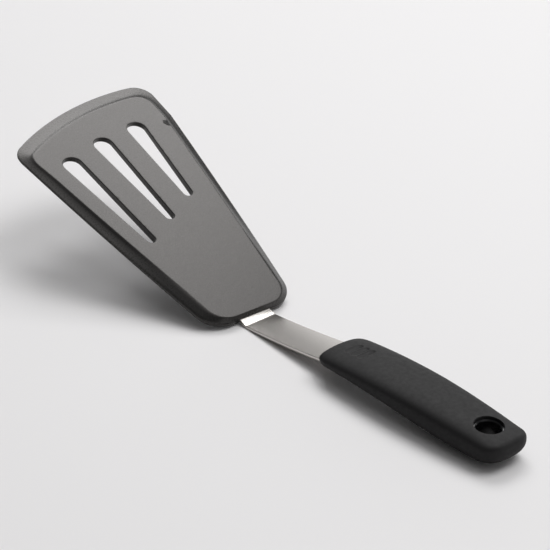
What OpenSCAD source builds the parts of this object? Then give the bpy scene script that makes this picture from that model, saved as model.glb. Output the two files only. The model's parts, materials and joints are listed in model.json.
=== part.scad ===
// Slotted flexible turner: a silicone blade moulded over a thin spring-steel core, a bent steel
// shank that carries it, and a soft grip moulded over a rigid handle core with a hanging hole.
// The turner rests as it would on a counter: on the bend of the shank and on the butt of the grip.
// X runs along the tool, blade toward -X and butt toward +X; Y is across it; Z is up from the floor.

/* [Blade] */
// Length of the silicone blade along its own slope
blade_l = 157.4; // [148:0.2:164]
// Width of the blade at its widest
blade_w = 91; // [84:0.5:96]
// Width across the heel, before its corners are rounded
heel_w = 49.2; // [47:0.2:56]
// Slope of the blade above the floor, in degrees
blade_tilt = 22; // [19:0.5:25]
// Radius of the curved front edge
front_r = 143; // [135:1:155]
// How far the longest point of the front edge lies to the +Y side
front_skew = 26; // [18:1:30]
// Radius of the two front corners
corner_r = 8.5; // [6:0.5:10]
// Radius of the two heel corners
heel_r = 14; // [12:0.5:17]
// How far each side bulges outside a straight line
side_bulge = 0.9; // [0:0.1:1.4]
// Thickness of the blade at the heel
heel_t = 4.8; // [4.4:0.1:5.4]
// Thickness of the panel at the front
panel_t = 2.4; // [2.3:0.05:2.8]
// Thickness of the flexible lip around the edge
lip_t = 1.2; // [1:0.1:1.5]
// Width of the thinned border along each side
side_border = 5.6; // [4:0.2:6.4]
// Width of the thinned border along the front
front_border = 9; // [7:0.5:10]

/* [Slots] */
// Radius of the wide, forward end of every slot
slot_wide_r = 5.05; // [4:0.05:5.4]
// Radius of the narrow, rear end of every slot
slot_narrow_r = 2.45; // [2:0.05:2.8]
// Distance from the heel to the narrow end of the middle slot
slot_start = 70; // [66:1:74]
// Length of the middle slot between the centres of its ends
slot_l = 55; // [48:1:58]
// How much further forward each narrow end lies than the one on its -Y side
slot_step = 9.75; // [8:0.25:11]
// Distance between the narrow ends of neighbouring slots, across the blade
slot_pitch_rear = 18.3; // [17:0.1:19]
// Distance between the wide ends of neighbouring slots, across the blade
slot_pitch_front = 22.6; // [21.5:0.1:23.5]

/* [Core inside the blade] */
// Thickness of the spring-steel core sheet
core_t = 0.6; // [0.5:0.05:0.7]
// Cover of silicone between the edge of the panel and the core sheet
core_margin = 2; // [1.5:0.25:3]
// Length of blade in front of the core sheet, left flexible
core_short = 48; // [44:1:56]
// Extra clearance of the core around each slot
core_slot_gap = 1.4; // [1.2:0.1:1.6]
// Radius of the holes the silicone flows through
flow_r = 1.6; // [1.2:0.1:2]

/* [Shank] */
// Thickness of the steel strip
shank_t = 1.4; // [1.2:0.1:1.5]
// Width of the strip where it leaves the blade
shank_w = 18.2; // [17:0.2:19]
// Width of the strip where it enters the grip
shank_w_grip = 20; // [19:0.2:20.6]
// Slope of the arm above the floor, in degrees
arm_rise = 7; // [6:0.5:8]
// Inner radius of the bend on which the turner rests
bend_r = 6; // [5:0.5:8]
// Length of tongue held inside the blade
tongue_l = 42; // [36:1:46]
// Radius of the rivet shanks
rivet_r = 1.5; // [1.2:0.1:1.8]

/* [Grip] */
// Distance from the bend of the shank to the front of the grip
grip_start = 54.1; // [51:0.1:57]
// Length of the grip
grip_l = 111.6; // [108:0.4:118]
// Width of the grip at its widest
grip_w = 29.8; // [29:0.2:32]
// Height of the top of the grip above the floor, at its highest
grip_top = 15.9; // [15.5:0.1:17]
// Height of the underside of the grip above the floor, at its front
grip_under = 4.9; // [4.4:0.1:5.2]
// Distance from the butt to the centre of the hanging hole
hole_inset = 15.5; // [15:0.5:18]
// Radius of the opening in the soft sleeve
hole_r = 6.5; // [6.2:0.1:6.8]
// Radius of the bore through the rigid core
bore_r = 5.5; // [5:0.1:5.8]
// Backward lean of the hanging hole, in degrees
hole_lean = 5; // [3:0.5:6]

/* [Hidden] */
eps = 0.02;
arc_n = 10;
$fn = 64;

// the shank: its bend touches the floor at x = 0
outer_bend = bend_r + shank_t;
exit_gap = 2.5;
under_t = 0.6;
strip_x = -outer_bend * sin(blade_tilt) - exit_gap * cos(blade_tilt);
strip_z = outer_bend * (1 - cos(blade_tilt)) + exit_gap * sin(blade_tilt);
heel_x = strip_x - under_t * sin(blade_tilt);
heel_z = strip_z - under_t * cos(blade_tilt);
arm_l = grip_start + 12;
arm_x = outer_bend * sin(arm_rise);
arm_z = outer_bend * (1 - cos(arm_rise));
tang_x = arm_x + arm_l * cos(arm_rise);
tang_z = arm_z + arm_l * sin(arm_rise);
tang_l = 72;

// overall reach, used to centre the part on the origin
front_x = heel_x - blade_l * cos(blade_tilt);
butt_x = grip_start + grip_l;
centre_x = (front_x + butt_x) / 2;

// hanging hole
hole_x = butt_x - hole_inset;
bore_bottom = 1.7;
bore_top = 12.7;

function lerp(a, b, t) = a + (b - a) * t;
function unit(v) = v / norm(v);
function flat(list) = [for (part = list) for (p = part) p];

// the points that round one corner of a chain of [x, y, radius]
function corner(p0, p1, p2) =
    let (
        p = [p1[0], p1[1]],
        a = unit([p0[0], p0[1]] - p),
        b = unit([p2[0], p2[1]] - p),
        half = acos(a * b) / 2,
        c = p + unit(a + b) * p1[2] / sin(half),
        s = p + a * p1[2] / tan(half) - c,
        turn = (a[0] * b[1] - a[1] * b[0] > 0 ? -1 : 1) * (180 - 2 * half),
        a0 = atan2(s[1], s[0])
    )
    [for (k = [0 : arc_n]) c + p1[2] * [cos(a0 + turn * k / arc_n), sin(a0 + turn * k / arc_n)]];

function rounded(chain) =
    let (n = len(chain))
    flat([for (i = [0 : n - 1])
        chain[i][2] == 0
            ? [[chain[i][0], chain[i][1]]]
            : corner(chain[(i + n - 1) % n], chain[i], chain[(i + 1) % n])]);

// half width of the blade at distance u from the heel
side_end = blade_l - 26;
side_n = 6;
function half_w(u) =
    lerp(heel_w / 2, blade_w / 2, u / side_end) + side_bulge * 4 * (u / side_end) * (1 - u / side_end);

// reach of the front edge at y = v, drawn in by "inset"
function front_u(v, inset) =
    blade_l - front_r + sqrt(pow(front_r - inset, 2) - pow(v - front_skew, 2));

// outline of the blade drawn in by a border along the sides and front, and by "rear" at the heel
function outline(side, front, rear) =
    let (
        e = blade_w / 2 - side,
        near = [for (i = [1 : side_n - 1])
            let (u = side_end * i / side_n) [-u, -half_w(u) + side, 0]],
        far = [for (i = [side_n - 1 : -1 : 1])
            let (u = side_end * i / side_n) [-u, half_w(u) - side, 0]],
        r = corner_r - side * 0.45,
        shoulder = min(side_end, front_u(-e, front) - 0.8 * r),
        edge = [for (i = [1 : 9]) let (v = lerp(-e, e, i / 10)) [-front_u(v, front), v, 0]]
    )
    rounded(concat(
        [[-rear, -heel_w / 2 + side * 0.85, heel_r - side * 0.6]],
        near,
        [[-shoulder, -e, 0]],
        [[-front_u(-e, front), -e, r]],
        edge,
        [[-front_u(e, front), e, r + 1.5]],
        [[-side_end, e, 0]],
        far,
        [[-rear, heel_w / 2 - side * 0.85, heel_r - side * 0.6]]
    ));

// fall of the top face toward the front, in degrees, and height of the side edges at the heel
taper = atan((heel_t - panel_t) / blade_l);
heel_lip_t = 3.2;

// solid skinned through a list of rings that all have the same number of points
module skin(rings) {
    n = len(rings[0]);
    m = len(rings);
    sides = flat([for (j = [0 : m - 2]) flat([for (i = [0 : n - 1])
        let (a = j * n + i, b = j * n + (i + 1) % n)
        [[a, a + n, b], [b, a + n, b + n]]])]);
    polyhedron(
        points = flat(rings),
        faces = concat([[for (i = [0 : n - 1]) i]], sides, [[for (i = [n - 1 : -1 : 0]) (m - 1) * n + i]])
    );
}

// moves a finished piece so that the middle of the whole tool stands on the origin
module centred() {
    translate([-centre_x, 0, 0])
        children();
}

// puts a shape drawn flat (heel at the origin, front toward -X) onto the slope of the blade
module on_blade() {
    translate([heel_x, 0, heel_z])
        rotate([0, blade_tilt, 0])
            children();
}

// everything above the thinned border of the blade: a cone under the front edge, and a slope
// along each side
module border_cut() {
    fall = front_border / (panel_t - lip_t);
    translate([front_r - blade_l, front_skew, lip_t])
        difference() {
            cylinder(h = 8, r = front_r + 60, $fn = 240);
            translate([0, 0, -eps])
                cylinder(h = 8 + 2 * eps, r1 = front_r + 0.3, r2 = front_r + 0.3 - 8 * fall, $fn = 240);
        }
    side_dir = atan((blade_w - heel_w) / 2 / side_end);
    slope = atan((heel_t - heel_lip_t) / side_border);
    for (s = [-1, 1])
        translate([0, s * (heel_w / 2 + side_bulge - side_border), heel_t])
            rotate([0, -taper, 0])
                rotate([0, 0, -s * side_dir])
                    rotate([-s * slope, 0, 0])
                        translate([-1.3 * blade_l, s > 0 ? 0 : -40, 0])
                            cube([1.6 * blade_l, 40, 12]);
}

// the blade before its border is thinned: a plate that tapers toward the front
module blade_plate() {
    difference() {
        linear_extrude(heel_t + 1)
            polygon(outline(0, 0, 0));
        translate([0, 0, heel_t])
            rotate([0, -taper, 0])
                translate([-2 * blade_l, -blade_w, 0])
                    cube([3 * blade_l, 2 * blade_w, 10]);
    }
}

// rear and forward centres of slot k, counted -1, 0, 1 from the -Y side
function slot_rear(k) = [-(slot_start + k * slot_step), k * slot_pitch_rear - 0.4];
function slot_front(k) = [-(slot_start + slot_l + k * 4.5 - k * k * 1.5), k * slot_pitch_front - 1.4];

// tapered slot with round ends, grown by g, between two heights
module slot(k, g, z0, z1) {
    a = slot_rear(k);
    b = slot_front(k);
    ra = slot_narrow_r + g;
    rb = slot_wide_r + g;
    d = norm(b - a);
    lean = asin((rb - ra) / d);
    dir = atan2(b[1] - a[1], b[0] - a[0]);
    translate([0, 0, z0])
        linear_extrude(z1 - z0)
            polygon(concat(
                [for (i = [0 : 2 * arc_n])
                    let (t = dir + lerp(90 + lean, 270 - lean, i / (2 * arc_n))) a + ra * [cos(t), sin(t)]],
                [for (i = [0 : 2 * arc_n])
                    let (t = dir + lerp(-90 - lean, 90 + lean, i / (2 * arc_n))) b + rb * [cos(t), sin(t)]]
            ));
}

// positions of the rivets and of the flow holes, in the plane of the blade
rivets = [[-9, 0], [-24, -5], [-24, 5]];
flow_holes = [
    for (u = [40, 52]) for (v = [-17, 17]) [-u, v],
    [-16, -15.5],
    [-16, 15.5],
    [-54, 2],
    [-66, 12]
];
core_z = under_t + shank_t;

module core_sheet() {
    difference() {
        translate([0, 0, core_z])
            linear_extrude(core_t)
                intersection() {
                    polygon(outline(side_border + core_margin, front_border + core_margin, 4));
                    translate([front_r - blade_l, front_skew])
                        circle(r = front_r - core_short, $fn = 180);
                }
        for (k = [-1 : 1])
            slot(k, core_slot_gap, core_z - 1, core_z + core_t + 1);
        for (p = flow_holes)
            translate([p[0], p[1], core_z - 1])
                cylinder(h = core_t + 2, r = flow_r);
        for (p = rivets)
            translate([p[0], p[1], core_z - 1])
                cylinder(h = core_t + 2, r = rivet_r);
    }
}

// one rivet: countersunk below, low round head above
module rivet(p) {
    translate([p[0], p[1], under_t])
        cylinder(h = 0.7, r1 = rivet_r + 0.7, r2 = rivet_r);
    translate([p[0], p[1], under_t + 0.7])
        cylinder(h = shank_t - 0.7 + core_t, r = rivet_r);
    translate([p[0], p[1], core_z + core_t])
        cylinder(h = 0.5, r1 = rivet_r + 1, r2 = rivet_r + 0.5);
}

// side view of the strip: [x, z] points of a line that runs at height k above its underside
tang_r = 8;
tang_cx = tang_x + tang_r * sin(arm_rise);
tang_cz = tang_z - tang_r * cos(arm_rise);
function strip_side(k) = concat(
    [[strip_x - tongue_l * cos(blade_tilt) + k * sin(blade_tilt),
      strip_z + tongue_l * sin(blade_tilt) + k * cos(blade_tilt)]],
    [for (i = [0 : 8])
        let (t = lerp(-blade_tilt, arm_rise, i / 8), r = outer_bend - k)
        [r * sin(t), outer_bend - r * cos(t)]],
    [for (i = [0 : 4])
        let (t = lerp(arm_rise, 0, i / 4)) [tang_cx - (tang_r + k) * sin(t), tang_cz + (tang_r + k) * cos(t)]],
    [[tang_x + tang_l, tang_cz + tang_r + k]]
);

function reversed(list) = [for (i = [len(list) - 1 : -1 : 0]) list[i]];

// plan of the strip: tongue, tapered arm and tang, with rounded ends
tongue_end = strip_x - tongue_l * cos(blade_tilt);
module strip_plan() {
    tip = tang_x + tang_l;
    polygon(rounded([
        [tongue_end - 1, -shank_w * 0.38, 4],
        [strip_x - 6, -shank_w / 2, 0],
        [strip_x + 1.3, -shank_w / 2, 0],
        [grip_start, -shank_w_grip / 2, 0],
        [grip_start + 14, -7, 0],
        [tip, -7, 4],
        [tip, 7, 4],
        [grip_start + 14, 7, 0],
        [grip_start, shank_w_grip / 2, 0],
        [strip_x + 1.3, shank_w / 2, 0],
        [strip_x - 6, shank_w / 2, 0],
        [tongue_end - 1, shank_w * 0.38, 4]
    ]));
}

// the strip without its holes
module strip() {
    intersection() {
        translate([0, shank_w_grip, 0])
            rotate([90, 0, 0])
                linear_extrude(2 * shank_w_grip)
                    polygon(concat(strip_side(0), reversed(strip_side(shank_t))));
        translate([0, 0, -1])
            linear_extrude(60)
                strip_plan();
    }
}

// holes in the tang, filled by posts of the rigid core
tang_holes = [for (i = [0 : 2]) grip_start + 26 + 20 * i];
tang_mid_z = tang_cz + tang_r + shank_t / 2;

// grip sections at s = 0 (front) to 1 (butt)
function grip_half(s) = grip_w / 2 - 7.1 * pow(s - 0.37, 2);
function grip_crown(s) = grip_top - 12.1 * pow(s - 0.48, 2);
function grip_floor(s) =
    grip_under * (1 + cos(180 * min(1, max(0, (s - 0.12) / 0.75)))) / 2;

// rounding of the front rim and of the butt: [length along the grip, distance taken off]
front_sides = [7.8, 4.4];
front_top = [3.5, 3.4];
front_under = [3.5, 2.4];
butt_sides = [7.1, 8.8];
butt_top = [2.6, 2.6];
butt_under = [14, 8];
function taken(d, r) = d >= r[0] ? 0 : r[1] * (1 - sqrt(1 - pow((r[0] - d) / r[0], 2)));

function sign_pow(a, e) = (a < 0 ? -1 : 1) * pow(abs(a), e);

// one ring of the grip at distance d from its front; the top is an arch at the front and
// flattens toward the middle
ring_n = 40;
widest = 0.57;
function grip_ring(d) =
    let (
        s = d / grip_l,
        b = grip_l - d,
        w = grip_half(s) - taken(d, front_sides) - taken(b, butt_sides),
        top = grip_crown(s) - taken(d, front_top) - taken(b, butt_top),
        low = grip_floor(s) + taken(d, front_under) + taken(b, butt_under),
        mid = lerp(low, top, widest),
        arch = lerp(2.15, 3.15, min(1, 2 * s))
    )
    [for (i = [0 : ring_n - 1])
        let (
            a = 360 * (i + 0.5) / ring_n,
            up = sin(a) > 0,
            e = up ? 2 / arch : 2 / 2.43,
            h = up ? top - mid : mid - low
        )
        [grip_start + d, w * sign_pow(cos(a), e), mid + h * sign_pow(sin(a), e)]];

grip_stations = concat(
    [for (i = [0 : 8]) front_sides[0] * (1 - cos(10 * i))],
    [for (i = [0 : 12]) lerp(front_sides[0], grip_l - butt_under[0], i / 12)],
    [for (i = [1 : 10]) grip_l - butt_under[0] * (1 - sin(9 * i))]
);

module grip_shape() {
    skin([for (d = grip_stations) grip_ring(d)]);
}

// a rod on the axis of the hanging hole, between two heights measured along it from the floor
module on_hole(z0, z1, ra, rb) {
    translate([hole_x, 0, 7])
        rotate([0, hole_lean, 0])
            translate([0, 0, z0 - 7])
                cylinder(h = z1 - z0, r1 = ra, r2 = rb);
}

// rigid core of the grip, before the tang and the bore are taken out of it
core_half = 10.2;
core_end_r = 9.6;
module core_blank() {
    core_x0 = grip_start + 5;
    core_x1 = hole_x;
    core_l = grip_l - 6.4;
    intersection() {
        translate([0, 0, -5])
            linear_extrude(30)
                union() {
                    translate([core_x0, -core_half])
                        square([hole_x - 6 - core_x0, 2 * core_half]);
                    translate([hole_x - 6 - eps, -core_end_r])
                        square([6, 2 * core_end_r]);
                    translate([core_x1, 0])
                        circle(r = core_end_r);
                }
        translate([0, 30, 0])
            rotate([90, 0, 0])
                linear_extrude(60)
                    polygon(concat(
                        [for (i = [0 : 12])
                            let (d = lerp(5, core_l, i / 12))
                            [grip_start + d, grip_floor(d / grip_l) + 2.4]],
                        [for (i = [12 : -1 : 0])
                            let (d = lerp(5, core_l, i / 12))
                            [grip_start + d, grip_crown(d / grip_l) - 3.4]]
                    ));
    }
    on_hole(bore_bottom, bore_top, 8.4, 8.4);
}

module silicone_head() {
    color("dimgray")
    centred()
        difference() {
            on_blade()
                difference() {
                    blade_plate();
                    for (k = [-1 : 1])
                        slot(k, 0, -1, heel_t + 2);
                    border_cut();
                    core_sheet();
                    for (p = rivets)
                        rivet(p);
                }
            strip();
        }
}

module spring_core() {
    color("silver")
    centred()
        on_blade()
            core_sheet();
}

module core_rivets() {
    color("silver")
    centred()
        on_blade()
            for (p = rivets)
                rivet(p);
}

module shank() {
    color("gainsboro")
    centred()
        difference() {
            strip();
            on_blade()
                for (p = rivets)
                    rivet(p);
            for (x = tang_holes)
                translate([x, 0, tang_mid_z - shank_t])
                    cylinder(h = 2 * shank_t, r = 2.5);
        }
}

module handle_core() {
    color("black")
    centred()
        difference() {
            core_blank();
            difference() {
                strip();
                for (x = tang_holes)
                    translate([x, 0, tang_mid_z - shank_t])
                        cylinder(h = 2 * shank_t, r = 2.5);
            }
            on_hole(-2, 20, bore_r, bore_r);
            on_hole(bore_top - 0.6, bore_top + eps, bore_r, bore_r + 0.62);
        }
}

// three shallow thumb grooves across the front of the grip
groove_r = 4;
groove_depth = 0.6;
groove_pitch = 4;

module grip_sleeve() {
    color("#222222")
    centred()
        difference() {
            grip_shape();
            core_blank();
            strip();
            on_hole(-3, 22, hole_r, hole_r);
            for (i = [0 : 2])
                let (d = 11 + groove_pitch * i)
                translate([grip_start + d, 0, grip_crown(d / grip_l) - groove_depth + groove_r])
                    rotate([90, 0, 0])
                        cylinder(h = 13, r = groove_r, center = true);
        }
}

silicone_head();
spring_core();
core_rivets();
shank();
handle_core();
grip_sleeve();
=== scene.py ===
"""Looks of the slotted flexible turner: silicone blade, bent steel shank, hard core and soft grip."""

import json
import math

import bmesh
import bpy
import numpy as np
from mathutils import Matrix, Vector
from mathutils.geometry import delaunay_2d_cdt


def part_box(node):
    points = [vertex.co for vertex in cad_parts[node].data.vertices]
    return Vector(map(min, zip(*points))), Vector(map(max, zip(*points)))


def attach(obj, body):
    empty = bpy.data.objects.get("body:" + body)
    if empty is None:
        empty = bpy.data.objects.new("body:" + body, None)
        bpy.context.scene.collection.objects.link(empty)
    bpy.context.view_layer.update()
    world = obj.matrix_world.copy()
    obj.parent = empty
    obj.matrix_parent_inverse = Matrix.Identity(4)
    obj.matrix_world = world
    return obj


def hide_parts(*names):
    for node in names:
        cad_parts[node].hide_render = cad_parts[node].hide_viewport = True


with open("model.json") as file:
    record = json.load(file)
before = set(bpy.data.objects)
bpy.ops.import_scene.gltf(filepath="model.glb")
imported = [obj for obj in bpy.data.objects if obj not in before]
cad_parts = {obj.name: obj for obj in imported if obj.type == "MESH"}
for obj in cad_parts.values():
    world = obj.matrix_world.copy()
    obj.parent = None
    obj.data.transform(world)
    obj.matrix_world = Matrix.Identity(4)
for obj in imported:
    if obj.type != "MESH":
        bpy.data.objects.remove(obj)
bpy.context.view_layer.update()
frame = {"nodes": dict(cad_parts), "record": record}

MM = 0.001
WORLD_LOW, WORLD_HIGH = 0.16, 0.9
FINE = 2

# ---------------------------------------------------------------- places read from the frame
HEAD_LO, HEAD_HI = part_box("silicone_head")
SHANK_LO, SHANK_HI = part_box("shank")
GRIP_LO, GRIP_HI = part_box("grip_sleeve")
HOLE = frame["record"]["mounts"][0]
HOLE_AT = Vector(HOLE["pos_m"]) / MM
HOLE_AXIS = Vector(HOLE["axis"]).normalized()
BORE_R = HOLE["dims"]["r_mm"]

# ---------------------------------------------------------------- sizes, in millimetres
BLADE_L = 157.4
BLADE_W = (HEAD_HI[1] - HEAD_LO[1]) / MM
HEEL_W = 49.2
TILT = math.radians(22.0)
FRONT_R = 143.0
FRONT_SKEW = 26.0
CORNER_R = 8.5
HEEL_R = 14.0
BULGE = 0.9
HEEL_T, PANEL_T, LIP_T = 4.8, 2.4, 1.2
SIDE_BORDER, FRONT_BORDER, HEEL_BORDER = 5.6, 9.0, 1.2
SIDE_END = BLADE_L - 26.0
SLOT_WIDE, SLOT_NARROW = 5.05, 2.45
SHANK_T, SHANK_W, SHANK_W_GRIP = 1.4, 18.2, 20.0
ARM_RISE, ARM_CURVE = math.radians(7.0), math.radians(5.0)
BEND_R = 6.0
OUTER_BEND = BEND_R + SHANK_T
GRIP_L = (GRIP_HI[0] - GRIP_LO[0]) / MM
GRIP_X = GRIP_LO[0] / MM
GRIP_W, GRIP_TOP, GRIP_UNDER = 29.8, 15.9, 4.9
HOLE_R = 6.5
BEND_X = GRIP_X - 54.1
STRIP_X = BEND_X - OUTER_BEND * math.sin(TILT) - 2.5 * math.cos(TILT)
STRIP_Z = OUTER_BEND * (1 - math.cos(TILT)) + 2.5 * math.sin(TILT)
HEEL_X = STRIP_X - 0.6 * math.sin(TILT)
HEEL_Z = STRIP_Z - 0.6 * math.cos(TILT)


# ---------------------------------------------------------------- mesh helpers
def lerp(a, b, t):
    return a + (b - a) * t


def smooth(t):
    t = min(1.0, max(0.0, t))
    return t * t * (3 - 2 * t)


def add_mesh(name, verts, faces, material, angle=40.0):
    """A mesh piece, given in millimetres, smooth-shaded with sharp edges above the angle."""
    mesh = bpy.data.meshes.new(name)
    mesh.from_pydata([tuple(c * MM for c in v) for v in verts], [], faces)
    bm = bmesh.new()
    bm.from_mesh(mesh)
    bmesh.ops.remove_doubles(bm, verts=bm.verts, dist=1e-7)
    bmesh.ops.recalc_face_normals(bm, faces=bm.faces)
    bm.to_mesh(mesh)
    bm.free()
    piece = bpy.data.objects.new(name, mesh)
    bpy.context.scene.collection.objects.link(piece)
    mesh.materials.append(material)
    mesh.shade_smooth()
    mesh.set_sharp_from_angle(angle=math.radians(angle))
    return piece


def ring_faces(rings, count, closed=False):
    """Quads between neighbouring rings of equal count; closed also joins the last to the first."""
    faces = []
    last = rings if closed else rings - 1
    for j in range(last):
        a, b = j * count, ((j + 1) % rings) * count
        for i in range(count):
            k = (i + 1) % count
            faces.append((a + i, a + k, b + k, b + i))
    return faces


def resample(points, count):
    """The closed outline through the points, at equal steps along it."""
    p = np.array(points, float)
    q = np.vstack([p, p[:1]])
    d = np.concatenate([[0], np.cumsum(np.hypot(*np.diff(q, axis=0).T))])
    t = np.linspace(0, d[-1], count, endpoint=False)
    return np.c_[np.interp(t, d, q[:, 0]), np.interp(t, d, q[:, 1])]


# ---------------------------------------------------------------- blade outline
def arc_corner(p0, p1, p2, n=24):
    """Points that round corner p1 = (x, y, radius) between its neighbours."""
    p = np.array(p1[:2], float)
    a = np.array(p0[:2]) - p
    b = np.array(p2[:2]) - p
    a, b = a / np.hypot(*a), b / np.hypot(*b)
    half = math.acos(float(a @ b)) / 2
    r = p1[2]
    centre = p + (a + b) / np.hypot(*(a + b)) * r / math.sin(half)
    start = p + a * r / math.tan(half) - centre
    sign = -1 if a[0] * b[1] - a[1] * b[0] > 0 else 1
    turn = sign * (math.pi - 2 * half)
    a0 = math.atan2(start[1], start[0])
    angles = [a0 + turn * k / n for k in range(n + 1)]
    return [centre + r * np.array([math.cos(t), math.sin(t)]) for t in angles]


def half_w(u):
    t = u / SIDE_END
    return lerp(HEEL_W / 2, BLADE_W / 2, t) + BULGE * 4 * t * (1 - t)


def front_u(v, inset):
    return BLADE_L - FRONT_R + math.sqrt((FRONT_R - inset) ** 2 - (v - FRONT_SKEW) ** 2)


def outline(side, front, rear):
    """Blade outline in its own plane (front toward -x), drawn in by the given borders."""
    e = BLADE_W / 2 - side
    r = CORNER_R - side * 0.45
    shoulder = min(SIDE_END, front_u(-e, front) - 0.8 * r)
    n = 30
    near = [(-SIDE_END * i / n, -half_w(SIDE_END * i / n) + side, 0) for i in range(5, n - 3)]
    far = [(x, -y, 0) for x, y, _ in reversed(near)]
    edge = [(-front_u(v, front), v, 0) for v in np.linspace(-e, e, 41)[4:-5]]
    chain = (
        [(-rear, -HEEL_W / 2 + side * 0.85, HEEL_R - side * 0.6)]
        + near
        + [(-shoulder, -e, 0), (-front_u(-e, front), -e, r)]
        + edge
        + [(-front_u(e, front), e, r + 1.5), (-SIDE_END, e, 0)]
        + far
        + [(-rear, HEEL_W / 2 - side * 0.85, HEEL_R - side * 0.6)]
    )
    out = []
    for i, c in enumerate(chain):
        if c[2] == 0:
            out.append(np.array(c[:2], float))
        else:
            out += arc_corner(chain[i - 1], c, chain[(i + 1) % len(chain)])
    return out


def slot_outline(k, grow, count):
    """Tapered slot k (-1, 0, 1 from the -y side), at equal steps."""
    a = np.array([-(70 + k * 9.75), k * 18.3 - 0.4])
    b = np.array([-(125 + k * 4.5 - k * k * 1.5), k * 22.6 - 1.4])
    ra, rb = SLOT_NARROW + grow, SLOT_WIDE + grow
    lean = math.asin((rb - ra) / np.hypot(*(b - a)))
    way = math.atan2(b[1] - a[1], b[0] - a[0])
    pts = []
    ends = (
        (a, ra, math.pi / 2 + lean, 3 * math.pi / 2 - lean),
        (b, rb, -math.pi / 2 - lean, math.pi / 2 + lean),
    )
    for c, r, t0, t1 in ends:
        for i in range(41):
            t = way + lerp(t0, t1, i / 40)
            pts.append(c + r * np.array([math.cos(t), math.sin(t)]))
    return resample(pts, count)


def eased(t, start):
    """A straight ramp that eases off to level between start and 1."""
    slope = 2 / (1 + start)
    return slope * t if t < start else 1 - slope * (1 - t) ** 2 / (2 * (1 - start))


def panel_n(x):
    return lerp(HEEL_T, PANEL_T, -x / BLADE_L)


def edge_n(x):
    u = -x
    return LIP_T + 0.8 * (max(0.0, 95 - u) / 95) ** 1.5


def on_blade(x, y, n):
    """From the blade's own plane to the row frame, in millimetres."""
    return (
        HEEL_X + x * math.cos(TILT) + n * math.sin(TILT),
        y,
        HEEL_Z - x * math.sin(TILT) + n * math.cos(TILT),
    )


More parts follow.
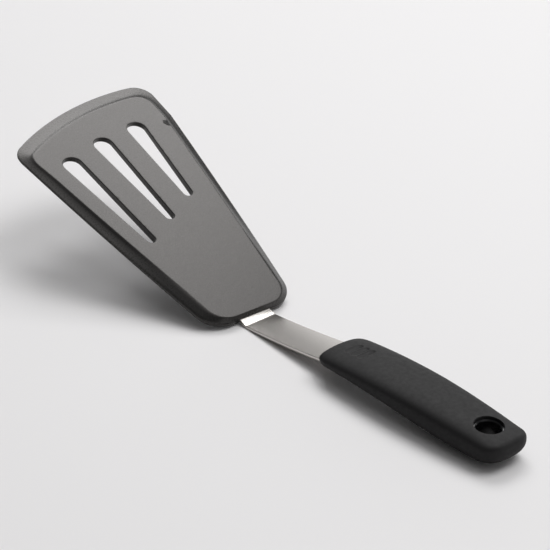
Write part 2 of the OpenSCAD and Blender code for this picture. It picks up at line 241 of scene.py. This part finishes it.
def blade_mesh(name, material):
    count = 260 * FINE
    outer = resample(outline(0, 0, 0), count)
    inner = resample(outline(SIDE_BORDER, FRONT_BORDER, HEEL_BORDER), 4 * count)
    # match each outer point with the nearest panel point, then even the match out
    match = np.array([np.argmin(np.hypot(*(inner - p).T)) for p in outer])
    inner = inner[match]
    for _ in range(6):
        inner = (np.roll(inner, 1, 0) + 2 * inner + np.roll(inner, -1, 0)) / 4
    verts, faces = [], []

    def ring(t, rise):
        for p, q in zip(outer, inner):
            c = lerp(p, q, t)
            heel = smooth((75.0 + c[0]) / 60.0)
            n = lerp(edge_n(c[0]), panel_n(c[0]), lerp(rise, eased(t, 0.6), heel))
            verts.append(on_blade(c[0], c[1], n))

    # underside round, edge wall, lip, concave rise, shoulder round
    r = 0.35
    inset = np.hypot(*(inner - outer).T)[:, None]
    inward = (inner - outer) / np.maximum(inset, 1e-6)

    def edge_ring(d, n_of):
        for p, w in zip(outer, inward):
            c = p + w * d
            verts.append(on_blade(c[0], c[1], n_of(c[0])))

    for k in range(5):
        a = math.pi / 2 * k / 4
        edge_ring(r * (1 - math.sin(a)), lambda x, a=a: r * (1 - math.cos(a)))
    for k in range(5):
        a = math.pi / 2 * k / 4
        edge_ring(r * (1 - math.cos(a)), lambda x, a=a: edge_n(x) - r + r * math.sin(a))
    steps = (0.1, 0.2, 0.3, 0.4, 0.5, 0.6, 0.68, 0.76, 0.82, 0.88, 0.92, 0.96, 1.0)
    profile = [(t, lerp(0.55 * t + 0.45 * t**2.5, eased(t, 0.8), smooth((t - 0.7) / 0.3))) for t in steps]
    for t, rise in profile:
        ring(t, rise)
    rings = 10 + len(profile)
    faces += ring_faces(rings, count)
    # slots: wall with rounded rims
    slot_count = 120 * FINE
    rim = 0.45
    slot_top, slot_low = [], []
    for k in (-1, 0, 1):
        base = len(verts)
        rows = []
        for j in range(5):
            a = math.pi / 2 * j / 4
            rows.append((rim * (1 - math.sin(a)), "low", rim * (1 - math.cos(a))))
        for j in range(5):
            a = math.pi / 2 * j / 4
            rows.append((rim * (1 - math.cos(a)), "top", rim * (1 - math.sin(a))))
        for grow, side, drop in rows:
            pts = slot_outline(k, grow, slot_count)
            for p in pts:
                n = drop if side == "low" else panel_n(p[0]) - drop
                verts.append(on_blade(p[0], p[1], n))
        faces += [tuple(base + i for i in f) for f in ring_faces(len(rows), slot_count)]
        slot_low.append((slot_outline(k, rim, slot_count), base))
        slot_top.append((slot_outline(k, rim, slot_count), base + (len(rows) - 1) * slot_count))

    def fill(boundary, first, holes, n_of):
        """Fills a flat face with holes, with points spread through it so it shades evenly."""
        pts = [Vector(p) for p in boundary]
        index = [first + i for i in range(len(boundary))]
        edges = [(i, (i + 1) % len(boundary)) for i in range(len(boundary))]
        for hole, start in holes:
            k = len(pts)
            pts += [Vector(p) for p in hole]
            index += [start + i for i in range(len(hole))]
            edges += [(k + i, k + (i + 1) % len(hole)) for i in range(len(hole))]
        step = 4.0 / FINE
        all_loops = [boundary] + [h for h, _ in holes]

        def inside(loop, x, y):
            c = False
            for (x0, y0), (x1, y1) in zip(loop, np.roll(loop, -1, 0)):
                if (y0 > y) != (y1 > y) and x < x0 + (y - y0) * (x1 - x0) / (y1 - y0):
                    c = not c
            return c

        xs = np.arange(boundary[:, 0].min() + step, boundary[:, 0].max(), step)
        ys = np.arange(boundary[:, 1].min() + step, boundary[:, 1].max(), step)
        every = np.vstack(all_loops)
        for i, x in enumerate(xs):
            for y in ys + (step / 2 if i % 2 else 0):
                if np.hypot(every[:, 0] - x, every[:, 1] - y).min() < step * 0.6:
                    continue
                if inside(boundary, x, y) and not any(inside(h, x, y) for h, _ in holes):
                    pts.append(Vector((x, y)))
                    index.append(None)
        flat_pts, _, tris, orig, _, _ = delaunay_2d_cdt(pts, edges, [], 0, 1e-9)
        ids = {}
        for j, p in enumerate(flat_pts):
            source = orig[j][0] if orig[j] else None
            if source is not None and index[source] is not None:
                ids[j] = index[source]
            else:
                ids[j] = len(verts)
                verts.append(on_blade(p[0], p[1], n_of(p[0])))
        for t in tris:
            cx = sum(flat_pts[i][0] for i in t) / 3
            cy = sum(flat_pts[i][1] for i in t) / 3
            if inside(boundary, cx, cy) and not any(inside(h, cx, cy) for h, _ in holes):
                faces.append(tuple(ids[i] for i in t))

    fill(inner, (rings - 1) * count, slot_top, panel_n)
    low = outer + inward * r
    fill(low, 0, slot_low, lambda x: 0.0)
    piece = add_mesh(name, verts, faces, material, 60)
    keep = piece.modifiers.new("even_shading", "WEIGHTED_NORMAL")
    keep.keep_sharp = True
    keep.weight = 80
    return piece


# ---------------------------------------------------------------- shank
def strip_path():
    """Centre line of the strip as (x, z, slope), in millimetres, from tongue tip to tang tip."""
    pts = []
    mid = SHANK_T / 2
    tongue, leaving = np.linspace(42.0, 0.4, 24), np.linspace(0.0, -2.4, 6)
    for u in (*tongue, *leaving):
        x = STRIP_X - u * math.cos(TILT) + mid * math.sin(TILT)
        z = STRIP_Z + u * math.sin(TILT) + mid * math.cos(TILT)
        pts.append((x, z, -TILT))
    r = OUTER_BEND - mid
    for a in np.linspace(-TILT, ARM_RISE, 16):
        pts.append((BEND_X + r * math.sin(a), OUTER_BEND - r * math.cos(a), a))
    arm_x = BEND_X + r * math.sin(ARM_RISE)
    arm_z = OUTER_BEND - r * math.cos(ARM_RISE)
    arm = GRIP_X - BEND_X + 12.0
    for d in np.linspace(1.0, arm - 0.5, 60):
        t = d / arm
        sag = arm * ARM_CURVE * (t * t - t) / 2
        slope = ARM_RISE + ARM_CURVE * (t - 0.5)
        x = arm_x + d * math.cos(ARM_RISE) - sag * math.sin(ARM_RISE)
        pts.append((x, arm_z + d * math.sin(ARM_RISE) + sag * math.cos(ARM_RISE), slope))
    rt = 8.0 + mid
    cx = arm_x + arm * math.cos(ARM_RISE) + rt * math.sin(ARM_RISE)
    cz = arm_z + arm * math.sin(ARM_RISE) - rt * math.cos(ARM_RISE)
    for a in np.linspace(ARM_RISE, 0, 5):
        pts.append((cx - rt * math.sin(a), cz + rt * math.cos(a), a))
    tip = SHANK_HI[0] / MM
    for x in np.linspace(pts[-1][0] + 1.0, tip, 36):
        pts.append((x, cz + rt, 0.0))
    return pts


def strip_half(x, tip0, tip1):
    """Half width of the strip at x: rounded tongue, tapered arm, narrow tang."""
    if x < STRIP_X:
        w = lerp(SHANK_W * 0.38, SHANK_W / 2, min(1.0, max(0.0, (x - tip0) / (STRIP_X - 6 - tip0))))
    elif x < GRIP_X:
        w = lerp(SHANK_W / 2, SHANK_W_GRIP / 2, (x - STRIP_X) / (GRIP_X - STRIP_X))
    else:
        w = lerp(SHANK_W_GRIP / 2, 7.0, min(1.0, (x - GRIP_X) / 14.0))
    for d in (x - tip0, tip1 - x):
        if d < 4.0:
            w -= 4.0 - math.sqrt(max(0.0, 16.0 - (4.0 - max(0.0, d)) ** 2))
    return max(w, 0.4)


def shank_mesh(name, material):
    path = strip_path()
    x0, x1 = path[0][0], path[-1][0]
    r = 0.32
    section = []
    for cx, cz, a0 in ((1, 1, 0), (-1, 1, 90), (-1, -1, 180), (1, -1, 270)):
        for k in range(6):
            a = math.radians(a0 + 90 * k / 5)
            section.append((cx, cz, r * math.cos(a), r * math.sin(a)))
    verts = []
    for x, z, slope in path:
        w = strip_half(x, x0, x1)
        for sy, sz, dy, dz in section:
            y = sy * (w - r) + dy
            n = sz * (SHANK_T / 2 - r) + dz
            verts.append((x - n * math.sin(slope), y, z + n * math.cos(slope)))
    count = len(section)
    faces = ring_faces(len(path), count)
    faces.append(tuple(range(count)))
    faces.append(tuple(len(verts) - 1 - i for i in range(count)))
    return add_mesh(name, verts, faces, material, 50)


# ---------------------------------------------------------------- grip
def grip_half(s):
    return GRIP_W / 2 - 7.1 * (s - 0.37) ** 2


def grip_crown(s):
    return GRIP_TOP - 12.1 * (s - 0.48) ** 2


def grip_floor(s):
    return GRIP_UNDER * (1 + math.cos(math.pi * min(1.0, max(0.0, (s - 0.12) / 0.75)))) / 2


def taken(d, length, depth):
    """What an elliptical rounding takes off at distance d from the end."""
    return 0.0 if d >= length else depth * (1 - math.sqrt(max(0.0, 1 - ((length - d) / length) ** 2)))


def spow(a, e):
    return math.copysign(abs(a) ** e, a)


def grip_ring(d, count):
    s = d / GRIP_L
    b = GRIP_L - d
    w = grip_half(s) - taken(d, 7.8, 4.4) - taken(b, 7.1, 8.8)
    top = grip_crown(s) - taken(d, 3.5, 3.4) - taken(b, 2.6, 2.6)
    low = grip_floor(s) + taken(d, 3.5, 2.4) + taken(b, 14.0, 8.0)
    mid = lerp(low, top, 0.57)
    arch = lerp(2.15, 3.15, min(1.0, 2 * s))
    out = []
    for i in range(count):
        a = 2 * math.pi * (i + 0.5) / count
        up = math.sin(a) > 0
        e = 2 / arch if up else 2 / 2.43
        h = top - mid if up else mid - low
        out.append((GRIP_X + d, w * spow(math.cos(a), e), mid + h * spow(math.sin(a), e)))
    return out


def on_hole(rows, count):
    """Points of a lathe shape about the axis of the hanging hole: rows of (radius, height)."""
    side = Vector((0, 1, 0))
    other = HOLE_AXIS.cross(side).normalized()
    base = HOLE_AT - HOLE_AXIS * HOLE_AT.z / HOLE_AXIS.z
    verts = []
    for r, h in rows:
        for i in range(count):
            a = 2 * math.pi * i / count
            p = base + HOLE_AXIS * h + side * (r * math.cos(a)) + other * (r * math.sin(a))
            verts.append(tuple(p))
    return verts


def cut(piece, cutter):
    """Takes the cutter out of the piece and removes the cutter."""
    mod = piece.modifiers.new("cut", "BOOLEAN")
    mod.operation = "DIFFERENCE"
    mod.object = cutter
    mod.solver = "EXACT"
    bpy.context.view_layer.update()
    dg = bpy.context.evaluated_depsgraph_get()
    mesh = bpy.data.meshes.new_from_object(piece.evaluated_get(dg))
    piece.modifiers.clear()
    piece.data = mesh
    bpy.data.objects.remove(cutter)


def grip_mesh(name, material):
    count = 64 * FINE
    stations = [7.8 * (1 - math.cos(math.radians(a))) for a in np.linspace(0, 85, 18 * FINE)]
    stations += list(np.linspace(7.8, GRIP_L - 14.0, 50 * FINE))
    stations += [GRIP_L - 14.0 * (1 - math.sin(math.radians(a))) for a in np.linspace(0, 90, 20 * FINE)][1:]
    verts = []
    for d in stations:
        verts += grip_ring(d, count)
    faces = ring_faces(len(stations), count)
    # end caps as shrinking rings, so that they shade softly
    for end in (0, len(stations) - 1):
        loop = list(range(end * count, (end + 1) * count))
        centre = np.mean([verts[i] for i in loop], axis=0)
        before = loop
        for t in (0.75, 0.5, 0.25):
            ring = list(range(len(verts), len(verts) + count))
            verts += [tuple(lerp(centre, np.array(verts[i]), t)) for i in loop]
            faces += [(before[i], before[(i + 1) % count], ring[(i + 1) % count], ring[i]) for i in range(count)]
            before = ring
        faces.append(tuple(before))
    piece = add_mesh(name, verts, faces, material, 50)
    rim = 0.7
    top = (grip_crown((HOLE_AT.x - GRIP_X) / GRIP_L)) / HOLE_AXIS.z
    rows = [(HOLE_R + rim + 0.5, -6), (HOLE_R + rim + 0.5, -0.3)]
    for a in np.linspace(0, math.pi / 2, 7):
        rows.append((HOLE_R + rim * (1 - math.sin(a)), 0.35 + rim * (1 - math.cos(a))))
    for a in np.linspace(0, math.pi / 2, 9):
        rows.append((HOLE_R + rim * (1 - math.cos(a)), top - rim + rim * math.sin(a)))
    rows += [(HOLE_R + rim + 0.8, top + 0.35), (HOLE_R + rim + 2, top + 6)]
    n = 96 * FINE
    cutter_verts = on_hole(rows, n)
    caps = [tuple(range(n)), tuple(len(cutter_verts) - 1 - i for i in range(n))]
    cutter_faces = ring_faces(len(rows), n) + caps
    cut(piece, add_mesh("cutter", cutter_verts, cutter_faces, material))
    # three shallow thumb grooves near the front
    for k in range(3):
        d = 11.0 + 4.0 * k
        z = grip_crown(d / GRIP_L) - 0.6 + 4.0
        rows = []
        for j in range(-12, 13):
            y = j * 6.5 / 12
            rr = 4.0 * math.sqrt(max(0.0, 1 - (abs(y) / 6.6) ** 6))
            rows.append((y, max(rr, 0.5)))
        gv = []
        m = 48 * FINE
        for y, rr in rows:
            for i in range(m):
                a = 2 * math.pi * i / m
                gv.append((GRIP_X + d + rr * math.cos(a), y, z + rr * math.sin(a)))
        gf = ring_faces(len(rows), m) + [tuple(range(m)), tuple(len(gv) - 1 - i for i in range(m))]
        cut(piece, add_mesh("cutter", gv, gf, material))
    piece.data.shade_smooth()
    piece.data.set_sharp_from_angle(angle=math.radians(38))
    return piece


# ---------------------------------------------------------------- materials
def new_material(name):
    m = bpy.data.materials.new(name)
    m.use_nodes = True
    nodes, links = m.node_tree.nodes, m.node_tree.links
    return m, nodes, links, nodes["Principled BSDF"]


def noise(nodes, links, scale, detail=3.0, rough=0.5, stretch=None):
    coord = nodes.new("ShaderNodeTexCoord")
    mapping = nodes.new("ShaderNodeMapping")
    if stretch:
        mapping.inputs["Scale"].default_value = stretch
    tex = nodes.new("ShaderNodeTexNoise")
    tex.inputs["Scale"].default_value = scale
    tex.inputs["Detail"].default_value = detail
    tex.inputs["Roughness"].default_value = rough
    links.new(coord.outputs["Object"], mapping.inputs["Vector"])
    links.new(mapping.outputs["Vector"], tex.inputs["Vector"])
    return tex


def ranged(nodes, links, source, low, high, in_low=0.3, in_high=0.7):
    r = nodes.new("ShaderNodeMapRange")
    r.inputs["From Min"].default_value = in_low
    r.inputs["From Max"].default_value = in_high
    r.inputs["To Min"].default_value = low
    r.inputs["To Max"].default_value = high
    links.new(source, r.inputs["Value"])
    return r.outputs["Result"]


def bump(nodes, links, bsdf, height, distance, strength=1.0):
    b = nodes.new("ShaderNodeBump")
    b.inputs["Distance"].default_value = distance
    b.inputs["Strength"].default_value = strength
    links.new(height, b.inputs["Height"])
    links.new(b.outputs["Normal"], bsdf.inputs["Normal"])


def silicone():
    m, nodes, links, bsdf = new_material("silicone")
    bsdf.inputs["Base Color"].default_value = (0.022, 0.0215, 0.021, 1)
    bsdf.inputs["IOR"].default_value = 1.45
    bsdf.inputs["Specular IOR Level"].default_value = 0.5
    bsdf.inputs["Specular Tint"].default_value = (1.0, 0.955, 0.925, 1)
    tex = noise(nodes, links, 900, 4)
    links.new(ranged(nodes, links, tex.outputs["Fac"], 0.25, 0.31), bsdf.inputs["Roughness"])
    fine = noise(nodes, links, 2500, 2)
    bump(nodes, links, bsdf, fine.outputs["Fac"], 0.00001, 0.15)
    return m


def soft_grip():
    m, nodes, links, bsdf = new_material("soft_grip")
    bsdf.inputs["Base Color"].default_value = (0.011, 0.0105, 0.011, 1)
    bsdf.inputs["IOR"].default_value = 1.48
    bsdf.inputs["Specular IOR Level"].default_value = 0.28
    tex = noise(nodes, links, 500, 5)
    links.new(ranged(nodes, links, tex.outputs["Fac"], 0.6, 0.7), bsdf.inputs["Roughness"])
    fine = noise(nodes, links, 3500, 3)
    bump(nodes, links, bsdf, fine.outputs["Fac"], 0.00004, 0.6)
    return m


def hard_plastic():
    m, nodes, links, bsdf = new_material("hard_plastic")
    bsdf.inputs["Base Color"].default_value = (0.006, 0.006, 0.007, 1)
    bsdf.inputs["Roughness"].default_value = 0.16
    return m


def steel(name, along, shine=0.22):
    m, nodes, links, bsdf = new_material(name)
    bsdf.inputs["Metallic"].default_value = 1.0
    bsdf.inputs["Base Color"].default_value = (0.56, 0.535, 0.51, 1)
    grain = noise(nodes, links, 4000, 2, 0.5, along)
    links.new(ranged(nodes, links, grain.outputs["Fac"], shine, shine + 0.05), bsdf.inputs["Roughness"])
    bump(nodes, links, bsdf, grain.outputs["Fac"], 0.000004, 0.15)
    return m


SILICONE = silicone()
GRIP = soft_grip()
PLASTIC = hard_plastic()
BRUSHED = steel("brushed_steel", (0.03, 1.0, 1.0))
PLAIN = steel("spring_steel", (1.0, 1.0, 1.0), 0.35)

# ---------------------------------------------------------------- pieces
blade = blade_mesh("turner_blade", SILICONE)
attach(blade, "root")
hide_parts("silicone_head")

strip = shank_mesh("turner_shank", BRUSHED)
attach(strip, "root")
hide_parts("shank")

grip = grip_mesh("turner_grip", GRIP)
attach(grip, "root")
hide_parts("grip_sleeve")

for node, material in (("spring_core", PLAIN), ("core_rivets", PLAIN), ("handle_core", PLASTIC)):
    piece = frame["nodes"][node]
    piece.data.materials.clear()
    piece.data.materials.append(material)

# ---------------------------------------------------------------- floor, light, camera
floor_mat, fn, fl, fb = new_material("floor_paper")
fb.inputs["Base Color"].default_value = (0.80, 0.79, 0.795, 1)
fb.inputs["Roughness"].default_value = 0.55
fb.inputs["Specular IOR Level"].default_value = 0.25
FLOOR = 9000
floor_corners = [(-FLOOR, -FLOOR, 0), (FLOOR, -FLOOR, 0), (FLOOR, FLOOR, 0), (-FLOOR, FLOOR, 0)]
floor = add_mesh("floor", floor_corners, [(0, 1, 2, 3)], floor_mat)

world = bpy.data.worlds.new("studio")
world.use_nodes = True
wn, wl = world.node_tree.nodes, world.node_tree.links
coord = wn.new("ShaderNodeTexCoord")
split = wn.new("ShaderNodeSeparateXYZ")
wl.new(coord.outputs["Generated"], split.inputs[0])
glow = wn.new("ShaderNodeValToRGB")
glow.color_ramp.interpolation = "EASE"
stops = ((0.0, 1.3), (0.17, 1.2), (0.36, WORLD_LOW), (0.52, WORLD_LOW), (0.75, 0.5), (0.95, WORLD_HIGH))
for k, (at, value) in enumerate(stops):
    stop = glow.color_ramp.elements[k] if k < 2 else glow.color_ramp.elements.new(at)
    stop.position = at
    stop.color = (value, value, value, 1)
side = wn.new("ShaderNodeMapRange")
side.interpolation_type = "SMOOTHSTEP"
side.inputs["From Min"].default_value = -0.55
side.inputs["From Max"].default_value = 0.25
side.inputs["To Min"].default_value = 0.2
side.inputs["To Max"].default_value = 1.0
wl.new(split.outputs["Z"], glow.inputs["Fac"])
wl.new(split.outputs["Y"], side.inputs["Value"])
wl.new(glow.outputs["Color"], wn["Background"].inputs["Color"])
wl.new(side.outputs["Result"], wn["Background"].inputs["Strength"])
bpy.context.scene.world = world


def area_light(name, at, target, size, power, size_y=None):
    data = bpy.data.lights.new(name, "AREA")
    data.shape = "RECTANGLE"
    data.size, data.size_y = size, size_y or size
    data.energy = power
    light = bpy.data.objects.new(name, data)
    light.location = at
    way = Vector(target) - Vector(at)
    light.rotation_mode = "QUATERNION"
    light.rotation_quaternion = way.to_track_quat("-Z", "Y")
    bpy.context.scene.collection.objects.link(light)
    return light


area_light("top_softbox", (0.38, 0.80, 1.50), (0.0, 0.05, 0.0), 0.95, 12.5, 0.95)
area_light("back_softbox", (-1.02, 1.0, 1.62), (-0.09, 0.0, 0.03), 1.25, 18.5, 0.9)

cam_data = bpy.data.cameras.new("camera")
cam_data.sensor_width = 36.0
cam_data.lens = 36.0 * 2300 / 550
camera = bpy.data.objects.new("camera", cam_data)
bpy.context.scene.collection.objects.link(camera)
azimuth, elevation = math.radians(50.156), math.radians(27.354)
level = math.cos(elevation)
back = Vector((math.sin(azimuth) * level, -math.cos(azimuth) * level, math.sin(elevation)))
camera.location = (0.72402, -0.60177, 0.51511)
camera.rotation_mode = "QUATERNION"
camera.rotation_quaternion = (-back).to_track_quat("-Z", "Y")
cam_data.clip_start, cam_data.clip_end = 0.05, 50.0
bpy.context.scene.camera = camera
bpy.context.scene.view_settings.view_transform = "Standard"
